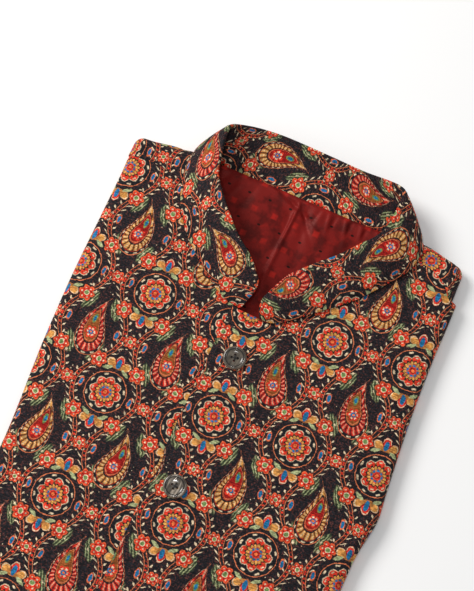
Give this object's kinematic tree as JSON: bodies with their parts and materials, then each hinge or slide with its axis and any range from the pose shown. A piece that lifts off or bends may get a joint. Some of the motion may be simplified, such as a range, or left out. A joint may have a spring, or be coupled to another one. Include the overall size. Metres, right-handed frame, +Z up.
{
  "type": "folded nehru jacket",
  "caption": "Sleeveless nehru jacket in printed cloth, lying face up with both sides folded behind, standing collar and a buttoned front.",
  "frame": {"origin": "middle of the underside, on the surface that the folded jacket lies on", "axes": "+Z up from the surface, +Y from the hem to the collar, +X to the wearer's left"},
  "size_m": [0.2936, 0.7374, 0.0368],
  "materials": {
    "print_cloth": "matte woven cloth with a dense traditional print in coral red, ochre, cream, green and blue on near-black",
    "lining_satin": "dark red satin lining with small woven squares and dots",
    "button": "glossy smoky grey-brown, mottled, four holes"
  },
  "bodies": {
    "root": {"front_left": "print_cloth", "front_right": "print_cloth", "back_shoulder_left": "print_cloth", "back_shoulder_right": "print_cloth", "back_and_folded_layers": "print_cloth", "back_lining": "lining_satin", "collar_outer": "print_cloth", "collar_inner": "print_cloth", "button_1": "button", "button_2": "button", "button_3": "button", "button_4": "button", "button_5": "button"}
  },
  "joints": []
}
